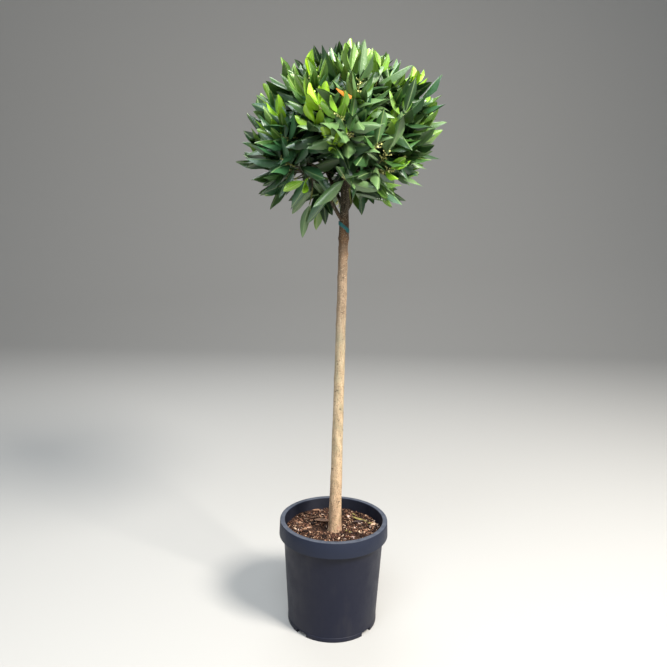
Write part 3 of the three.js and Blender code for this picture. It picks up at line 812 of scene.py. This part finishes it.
# Boughs: thirteen limbs that leave the stem at and above the fork in three tiers, bend out and up,
# and end where the leafy masses start. Their bark is the stem's own.
head_middle = Vector((0.003, 0, 1.135))
head_size = Vector((0.246, 0.244, 0.227))
head_lean = 0.11
top_tier = {"up": 90, "count": 1, "turn": 0}
upper_tier = {"up": 36, "count": 4, "turn": -28, "start": 1.098, "radius": 0.0042, "aim": 36, "reach": 0.3}
middle_tier = {"up": -2, "count": 5, "turn": 6, "start": 1.044, "radius": 0.0048, "aim": -4, "reach": 0.3}
lower_tier = {"up": -44, "count": 4, "turn": -62, "start": 0.930, "radius": 0.0052, "aim": -62, "reach": 0.44}
bough_steps, bough_sides = 14, 12
bough_rise = 0.026
bough_stagger = 0.011
bough_tip_share = 0.68
bough_roughness = 0.0003
skyward = Vector((0, 0, 1))
aslant = Vector((0.31, 0.95, 0.05))


def towards(turn, rise):
    """A direction out of the head's middle: turned from the front, and raised, in degrees."""
    a, e = math.radians(turn), math.radians(rise)
    return Vector((math.sin(a) * math.cos(e), -math.cos(a) * math.cos(e), math.sin(e)))


def from_ball(direction, share):
    """A place in the head, which is a ball that leans to the right: share 1 is its surface."""
    x, y, z = (d * s * share for d, s in zip(direction, head_size))
    return head_middle + Vector((x + head_lean * z, y, z))


def to_ball(point):
    x, y, z = point - head_middle
    return Vector(((x - head_lean * z) / head_size.x, y / head_size.y, z / head_size.z))


def arc_point(start, bend, end, share):
    return start.lerp(bend, share).lerp(bend.lerp(end, share), share)


def arc_points(start, bend, end, steps):
    return [arc_point(start, bend, end, i / steps) for i in range(steps + 1)]


def tapered(first, last, steps):
    return [first + (last - first) * i / steps for i in range(steps + 1)]


def add_limb(points, faces, path, radii, sides):
    """Adds a closed, tapering limb along a path to the lists of corners and faces."""
    first = len(points)
    side = aslant
    for i, (middle, radius) in enumerate(zip(path, radii)):
        along = (path[min(i + 1, len(path) - 1)] - path[max(i - 1, 0)]).normalized()
        side = (side - along * side.dot(along)).normalized()
        over = along.cross(side)
        for j in range(sides):
            turn = 2 * math.pi * j / sides
            points.append(middle + side * (radius * math.cos(turn)) + over * (radius * math.sin(turn)))
    for i in range(len(path) - 1):
        for j in range(sides):
            a, b = first + i * sides + j, first + i * sides + (j + 1) % sides
            faces.append([a, b, b + sides, a + sides])
    faces.append([first + j for j in range(sides)][::-1])
    faces.append([first + (len(path) - 1) * sides + j for j in range(sides)])


masses = []
bough_points, bough_faces = [], []
for tier in (top_tier, upper_tier, middle_tier, lower_tier):
    for place in range(tier["count"]):
        turn = tier["turn"] + 360 / tier["count"] * place
        mass = {"direction": towards(turn, tier["up"]), "tips": []}
        if "start" in tier:
            low = tier["start"] + bough_stagger * place
            start = Vector((stem_at(low)[1], 0, low))
            bend = start + (towards(turn, 0) + skyward) * bough_rise
            end = from_ball(towards(turn, tier["aim"]), tier["reach"])
            path = arc_points(start, bend, end, bough_steps)
            radii = tapered(tier["radius"], tier["radius"] * bough_tip_share, bough_steps)
            add_limb(bough_points, bough_faces, path, radii, bough_sides)
            mass["start"], mass["way"] = end, (end - bend).normalized()
        else:
            mass["start"], mass["way"] = Vector((stem_rings[-1][2], 0, stem_rings[-1][0])), skyward
        masses.append(mass)
# The vector noise would follow the clock if its seed weren't set.
noise.seed_set(1)
for i, point in enumerate(bough_points):
    rough = noise.noise(point * 380) + noise.noise(point * 120)
    bough_points[i] = point + bough_roughness * rough * noise.noise_vector(point * 90)
boughs = mesh_piece("boughs_bark", bough_points, bough_faces)
smooth(boughs, 60)
bark.coat(boughs)
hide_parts(*[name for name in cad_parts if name.startswith("bough_")])
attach(boughs, "root")

# Twigs: each mass has one stem, shoots that branch from it to tips spread over the head, some long and
# some short, and a few side shoots. Near the tips they turn up to the light, and their bark is green.
shoot_count = 112
lowest_tip = -0.80
thin_below = -0.35
thin_share = 0.38
open_front = {"below": -0.42, "half_turn": math.radians(38)}
low_shoots = {"count": 3, "turn": -75, "up": -72, "share": 0.76}
golden_turn = 137.5
tip_jitter = 14
tip_shares = (0.56, 0.78)
growth_stream = seeded(1735)
for i in range(shoot_count):
    height = 1 - (1 - lowest_tip) * (i + 0.5) / shoot_count
    around = math.radians(i * golden_turn + between(growth_stream, -tip_jitter, tip_jitter))
    flat = math.sqrt(1 - height * height)
    direction = Vector((flat * math.cos(around), flat * math.sin(around), height))
    owner = max(masses, key=lambda each: each["direction"].dot(direction))
    share = between(growth_stream, *tip_shares)
    thinned = height < thin_below and next(growth_stream) < thin_share
    in_front = height < open_front["below"] and direction.xy.angle(Vector((0, -1))) < open_front["half_turn"]
    if not thinned and not in_front:
        owner["tips"].append((from_ball(direction, share), share))
for i in range(low_shoots["count"]):
    direction = towards(low_shoots["turn"] + 360 / low_shoots["count"] * i, low_shoots["up"])
    owner = max(masses, key=lambda each: each["direction"].dot(direction))
    owner["tips"].append((from_ball(direction, low_shoots["share"]), low_shoots["share"]))

spine_share = 0.46
spine_radii, shoot_radii, side_radii = (0.0036, 0.0020), (0.0022, 0.0012), (0.0016, 0.0011)
spine_steps, spine_sides, shoot_steps, shoot_sides = 9, 8, 7, 6
green_from = 4
side_chance = 0.35
side_swing = (22, 40)
blade_reach = 0.2516
twig_points, twig_faces, twig_kinds = [], [], []
sprays = []


def light_way(tip):
    """The way that a shoot's tip points: outward, and up to the light where it isn't underneath."""
    outward = to_ball(tip).normalized()
    lift = 1.5 if outward.z > -0.2 else 1.5 + 2.0 * (outward.z + 0.2)
    return (outward + skyward * lift).normalized()


def add_shoot(start, tip, share, radii):
    """A shoot from its parent to its tip, turned at the end, and the spray of leaves that it holds."""
    way = light_way(tip)
    length = (tip - start).length
    arc = (start, tip - way * length * 0.5, tip)
    path = arc_points(*arc, shoot_steps)
    faces_before = len(twig_faces)
    add_limb(twig_points, twig_faces, path, tapered(*radii, shoot_steps), shoot_sides)
    for i in range(len(twig_faces) - faces_before):
        twig_kinds.append(1 if i // shoot_sides >= green_from else 0)
    sprays.append({"arc": arc, "way": way, "length": length, "reach": share + blade_reach})


for mass in masses:
    end = from_ball(mass["direction"], spine_share)
    bend = mass["start"] + mass["way"] * (end - mass["start"]).length / 2
    spine = (mass["start"], bend, end)
    faces_before = len(twig_faces)
    path = arc_points(*spine, spine_steps)
    add_limb(twig_points, twig_faces, path, tapered(*spine_radii, spine_steps), spine_sides)
    twig_kinds += [0] * (len(twig_faces) - faces_before)
    for tip, share in mass["tips"]:
        root = arc_point(*spine, between(growth_stream, 0.25, 0.95))
        add_shoot(root, tip, share, shoot_radii)
        if next(growth_stream) < side_chance:
            fork = arc_point(*sprays[-1]["arc"], between(growth_stream, 0.35, 0.6))
            swing = math.radians(between(growth_stream, *side_swing))
            turn = between(growth_stream, 0, 2 * math.pi)
            outward = to_ball(tip).normalized()
            across = Quaternion(outward, turn) @ outward.cross(Vector((0.6, 0.2, 0.77))).normalized()
            aim = (outward * math.cos(swing) + across * math.sin(swing)).normalized()
            side_share = share * between(growth_stream, 0.86, 1.02)
            add_shoot(fork, from_ball(aim, side_share), side_share, side_radii)
twigs = mesh_piece("twigs", twig_points, twig_faces)
old_wood = Finish("old_twig", roughness=0.7)
old_wood.colour(old_wood.mottle((90, 0.35, 0.65), (0.085, 0.070, 0.035), (0.045, 0.036, 0.020)))
green_wood = Finish("green_twig", roughness=0.55)
green_wood.colour(green_wood.mottle((90, 0.35, 0.65), (0.20, 0.24, 0.040), (0.13, 0.12, 0.035)))
old_wood.coat(twigs)
green_wood.coat(twigs)
twigs.data.polygons.foreach_set("material_index", twig_kinds)
smooth(twigs, 60)
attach(twigs, "root")

# Leaves: bay leaves are leathery, pointed at both ends and a little wavy, on a short stalk, with a
# pale midrib. Old ones spread flat and are deep blue-green; young ones are blunter and stand up.
leaf_stations = np.array([0, 0.06, 0.12, 0.24, 0.40, 0.56, 0.72, 0.85, 0.95, 1.0])
old_outline = np.array([0.07, 0.07, 0.34, 0.74, 0.98, 1.0, 0.82, 0.53, 0.22, 0.02])
young_outline = np.array([0.09, 0.09, 0.38, 0.75, 0.97, 1.0, 0.92, 0.70, 0.38, 0.04])
leaf_columns = np.array([-1, -0.52, 0, 0, 0.52, 1])
rib_half = 0.00075
head_hang = 0.0854
stem_room = 0.022
fork_clear = {"below": 0.985, "side": 0.019, "widening": 0.25}
leaf_tries = 12
upright_step, shorter_step = 0.055, 0.03
leaf_kinds = {
    "old": {"length": (0.072, 0.098), "width": (0.25, 0.34), "droop": (0.04, 0.20), "fold": (0.05, 0.30)},
    "mature": {"length": (0.062, 0.080), "width": (0.27, 0.33), "droop": (0.02, 0.14), "fold": (0.10, 0.38)},
    "young": {"length": (0.043, 0.060), "width": (0.34, 0.42), "droop": (0.00, 0.10), "fold": (0.12, 0.45)},
}
leaves = {kind: [] for kind in leaf_kinds}
buds = []


def before_fork(point):
    """True in front of the fork, which the lowest leaves leave open."""
    below = fork_clear["below"] - point.z
    side = fork_clear["side"] + fork_clear["widening"] * below
    return below > 0 and point.y < 0 and abs(point.x - stem_at(point.z)[1]) < side


def is_free(point, reach):
    """True where a leaf's tip keeps to its spray's reach and off the stem, and shows the fork."""
    spot = to_ball(point)
    clear = math.hypot(point.x - stem_at(point.z)[1], point.y) > stem_room
    return clear and not before_fork(point) and spot.length < reach + head_hang * max(0, -spot.z)


def grow_leaf(kind, spray, root, turn, spread, stream):
    """Aims a leaf, nearer to upright and shorter each time, until its tip is free."""
    axis = spray["way"]
    outward = to_ball(root).normalized()
    loose = Vector([between(stream, -0.75, 0.75) for _ in range(3)])
    face = axis + outward * 0.5 + skyward * 0.45 + loose
    side = axis.cross(aslant).normalized()
    shape = {key: between(stream, *span) for key, span in leaf_kinds[kind].items()}
    wave, ripple = between(stream, 0, 2 * math.pi), between(stream, 0.006, 0.020)
    bow, twist = between(stream, -0.05, 0.05), between(stream, -0.7, 0.7)
    for attempt in range(leaf_tries):
        away = Quaternion(axis, turn) @ side
        angle = spread * (1 - upright_step * attempt)
        along = axis * math.cos(angle) + away * math.sin(angle)
        along = (along - skyward * spray["hang"] * max(0, -outward.z - 0.15)).normalized()
        length = shape["length"] * (1 - shorter_step * attempt)
        if is_free(root + along * length, spray["reach"]):
            across = along.cross(face).normalized()
            over = across.cross(along).normalized()
            leaf = {**shape, "length": length, "width": length * shape["width"], "shade": spray["shade"]}
            leaf |= {"root": root, "along": along, "side": across, "over": over}
            leaf |= {"wave": wave, "ripple": ripple, "bow": bow, "twist": twist}
            leaves[kind].append(leaf)
            return


# Leaves stand on the last part of a shoot. From its foot to its tip their spread falls, in degrees,
# and their kind changes from old to mature or young.
leafy_lengths, leafy_most = (0.050, 0.078), 0.7
leaf_counts = {"full": (10, 14), "underneath": (6, 9)}
underneath_from = -0.45
first_spread, last_spread, spread_jitter = 92, 16, 10
young_from, mature_from, mature_chance = 0.66, 0.5, 0.4
bright_from, bright_chance, dim_chance = -0.3, 0.50, 0.12
front_from, front_young_from, young_tip_reach = -0.03, 0.62, 0.004
lower_leaves = {"full": 2, "underneath": 0}
bud_chance, bud_count, bud_clearance = 0.6, 16, 0.035
bud_joints, bud_stalks = (0.05, 0.50), (0.006, 0.014)
# The tips on the front that sprout young leaves, seen from the front: to the side and in height.
young_tips = (
    (-0.064, 1.245), (0.050, 1.264), (0.143, 1.221), (0.045, 1.140), (-0.014, 1.085), (-0.058, 1.134),
    (-0.138, 1.156), (-0.151, 1.121), (-0.082, 1.018), (-0.050, 1.168), (0.109, 1.047), (0.074, 1.244),
    (0.176, 1.174), (-0.006, 1.148), (0.156, 1.236), (0.022, 1.300), (0.101, 1.127),
)
leaf_stream = seeded(1590)
for spray in sprays:
    tip = spray["arc"][-1]
    in_front = tip.y < front_from
    sprouting = any(math.hypot(tip.x - x, tip.z - z) < young_tip_reach for x, z in young_tips)
    height = to_ball(tip).normalized().z
    where = "full" if height > underneath_from else "underneath"
    bright = next(leaf_stream) < (bright_chance if height > bright_from else dim_chance)
    spray["shade"] = next(leaf_stream)
    spray["hang"] = next(leaf_stream)
    turn = between(leaf_stream, 0, 2 * math.pi)
    count = int(between(leaf_stream, *leaf_counts[where]))
    leafy = min(between(leaf_stream, *leafy_lengths), leafy_most * spray["length"])
    for i in range(count):
        share = i / (count - 1)
        root = arc_point(*spray["arc"], 1 - (1 - share) * leafy / spray["length"])
        spread = first_spread + (last_spread - first_spread) * share
        spread = math.radians(spread + between(leaf_stream, -spread_jitter, spread_jitter))
        if share > young_from and bright:
            kind = "young"
        elif share > mature_from and next(leaf_stream) < mature_chance:
            kind = "mature"
        else:
            kind = "old"
        if in_front and sprouting and share > front_young_from:
            kind = "young"
        elif in_front and kind == "young":
            kind = "mature"
        grow_leaf(kind, spray, root, turn + math.radians(golden_turn) * i, spread, leaf_stream)
    for _ in range(lower_leaves[where]):
        root = arc_point(*spray["arc"], between(leaf_stream, 0.15, 0.55))
        spread = math.radians(between(leaf_stream, 60, 100))
        grow_leaf("old", spray, root, between(leaf_stream, 0, 2 * math.pi), spread, leaf_stream)
    if next(leaf_stream) < bud_chance:
        for _ in range(bud_count):
            back = 1 - between(leaf_stream, *bud_joints) * leafy / spray["length"]
            root = arc_point(*spray["arc"], back)
            around = between(leaf_stream, 0, 2 * math.pi)
            away = Quaternion(spray["way"], around) @ spray["way"].cross(aslant).normalized()
            stalk = (away + spray["way"] * between(leaf_stream, 0.1, 1.0)).normalized()
            spot = root + stalk * between(leaf_stream, *bud_stalks)
            if not before_fork(spot - skyward * bud_clearance):
                buds.append((root, spot))


# A few small gaps go right through the thinner lower half of the head. Each is where its line passes
# the stem, to the side and in height, and its radius.
light_gaps = (
    (-0.039, 1.050, 0.0090), (-0.122, 0.994, 0.0080), (-0.100, 1.035, 0.0075), (-0.068, 0.974, 0.0070),
    (-0.006, 0.969, 0.0070), (0.028, 0.956, 0.0060), (0.094, 1.115, 0.0045), (0.109, 1.043, 0.0030),
    (0.080, 1.002, 0.0030),
)
gap_steps = 8


def closes_gap(leaf):
    """True where a leaf would lie across a gap."""
    front = Vector(camera_place)
    for x, z, radius in light_gaps:
        line = (Vector((x, 0, z)) - front).normalized()
        for step in range(1, gap_steps):
            spot = leaf["root"] + leaf["along"] * (leaf["length"] * step / gap_steps)
            half = 0.3 * leaf["width"] * math.sin(math.pi * step / gap_steps)
            if (spot - front).cross(line).length < radius + half:
                return True
    return False


# One leaf near the top, which would lie flat against the lamp and glare, has been picked off.
picked_root = Vector((0.0333, -0.1575, 1.2103))
picked_reach = 0.0003
for kind in leaves:
    leaves[kind] = [leaf for leaf in leaves[kind] if not closes_gap(leaf)]
    leaves[kind] = [leaf for leaf in leaves[kind] if (leaf["root"] - picked_root).length > picked_reach]


def leaf_piece(name, grown, outline, shades, rib):
    """Joins leaves into one mesh. A leaf's faces take its shade, and its stalk and midrib the rib's."""
    count, rows, columns = len(grown), len(leaf_stations), len(leaf_columns)
    each = {key: np.array([leaf[key] for leaf in grown], float)[:, None, None] for key in grown[0]}
    length, width = each["length"], each["width"]
    t = leaf_stations[:, None]
    half = outline[:, None] * width / 2
    across = leaf_columns * half
    ribs = np.minimum(rib_half, 0.3 * half)
    across[:, :, 2:3], across[:, :, 3:4] = -ribs, ribs
    over = each["fold"] * np.abs(across) - 2.2 * across**2 / width
    wave = np.sin(t * 15 + each["wave"] + np.sign(leaf_columns))
    over = over + np.abs(leaf_columns) ** 2 * each["ripple"] * length * wave * np.sin(np.pi * t)
    sine, cosine = np.sin(each["twist"] * t), np.cos(each["twist"] * t)
    across, over = across * cosine - over * sine, across * sine + over * cosine
    across = across + each["bow"] * length * np.sin(np.pi * t)
    over = over - each["droop"] * length * t**2
    spots = each["root"] + each["along"] * (t * length)[..., None]
    spots = spots + each["side"] * across[..., None] + each["over"] * over[..., None]
    row, column = np.meshgrid(np.arange(rows - 1), np.arange(columns - 1), indexing="ij")
    corner = (row * columns + column).ravel()
    quads = np.stack([corner, corner + 1, corner + columns + 1, corner + columns], axis=1)
    faces = (quads[None] + (np.arange(count) * rows * columns)[:, None, None]).reshape(-1, 4)
    piece = mesh_piece(name, spots.reshape(-1, 3), faces, rounded=True)
    ribbed = (column.ravel() == 2) | (row.ravel() < 1)
    shade = (each["shade"][:, 0] * len(shades)).astype(np.int32)
    slots = np.where(ribbed, len(shades), shade)
    for skin in (*shades, rib):
        skin.coat(piece)
    piece.data.polygons.foreach_set("material_index", slots.ravel())
    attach(piece, "root")
    return piece


def leaf_skin(name, colour, roughness):
    skin = Finish(name, roughness, specular=1.0)
    skin.colour(colour)
    skin.bump(skin.mask(260, 0.3, 0.7), 0.0004, 0.6)
    return skin


# Dying leaf: one leaf high on the front has shrunk and turned orange as it dries, and sticks out on
# its stalk before it drops. It is an old leaf that is given a new length, width and way.
dying_root = Vector((0.014, -0.185, 1.176))
dying_tip = Vector((-0.006, -0.227, 1.185))
dying_stalk, dying_width = 0.014, 0.015
dying = min(leaves["old"] + leaves["mature"], key=lambda leaf: (leaf["root"] - dying_root).length)
for kind in ("old", "mature"):
    leaves[kind] = [leaf for leaf in leaves[kind] if leaf is not dying]
dying["shade"] = 0.0
dying["along"] = (dying_tip - dying["root"]).normalized()
dying["side"] = dying["along"].cross(Vector((0.1, -0.7, 0.7))).normalized()
dying["over"] = dying["side"].cross(dying["along"])
dying["length"] = (dying_tip - dying["root"]).length + dying_stalk
dying["width"] = dying_width
dying_skin = leaf_skin("leaf_dying", (0.46, 0.145, 0.006), 0.5)
leaf_piece("leaf_dying", [dying], old_outline, [dying_skin], dying_skin)

old_leaves = leaf_piece(
    "leaves_old",
    leaves["old"],
    old_outline,
    [
        leaf_skin("leaf_blue_green", (0.031, 0.106, 0.036), 0.35),
        leaf_skin("leaf_deep_green", (0.030, 0.090, 0.011), 0.34),
        leaf_skin("leaf_dark_green", (0.016, 0.055, 0.011), 0.36),
        leaf_skin("leaf_dull_green", (0.108, 0.198, 0.066), 0.38),
    ],
    leaf_skin("rib_dark", (0.17, 0.26, 0.09), 0.5),
)
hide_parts(*[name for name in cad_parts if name.startswith("leaves_")])
leaf_piece(
    "leaves_mature",
    leaves["mature"],
    old_outline,
    [
        leaf_skin("leaf_green", (0.096, 0.205, 0.028), 0.35),
        leaf_skin("leaf_grass_green", (0.142, 0.275, 0.032), 0.35),
        leaf_skin("leaf_cool_green", (0.060, 0.155, 0.034), 0.34),
    ],
    leaf_skin("rib_pale", (0.27, 0.38, 0.10), 0.5),
)
leaf_piece(
    "leaves_young",
    leaves["young"],
    young_outline,
    [
        leaf_skin("leaf_spring_green", (0.215, 0.430, 0.010), 0.40),
        leaf_skin("leaf_lime_green", (0.310, 0.550, 0.014), 0.42),
        leaf_skin("leaf_fresh_green", (0.165, 0.350, 0.012), 0.40),
    ],
    leaf_skin("rib_lime", (0.36, 0.52, 0.10), 0.5),
)

# Flower buds: round creamy buds on short stalks, in clusters at the leaf joints below the tips.
# They are small beads, joined into one piece.
bud_sizes = (0.0015, 0.0026)
stalk_radii, stalk_sides = (0.0005, 0.0004), 3
bud_points, bud_faces = [], []
for root, spot in buds:
    add_limb(bud_points, bud_faces, [root, spot], stalk_radii, stalk_sides)
    size = between(leaf_stream, *bud_sizes)
    add_bead(bud_points, bud_faces, [spot + corner * size for corner in bead_corners])
flower_buds = mesh_piece("flower_buds", bud_points, bud_faces, rounded=True)
bud_skin = Finish("flower_bud", roughness=0.6)
bud_skin.colour((0.72, 0.70, 0.26))
bud_skin.coat(flower_buds)
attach(flower_buds, "root")
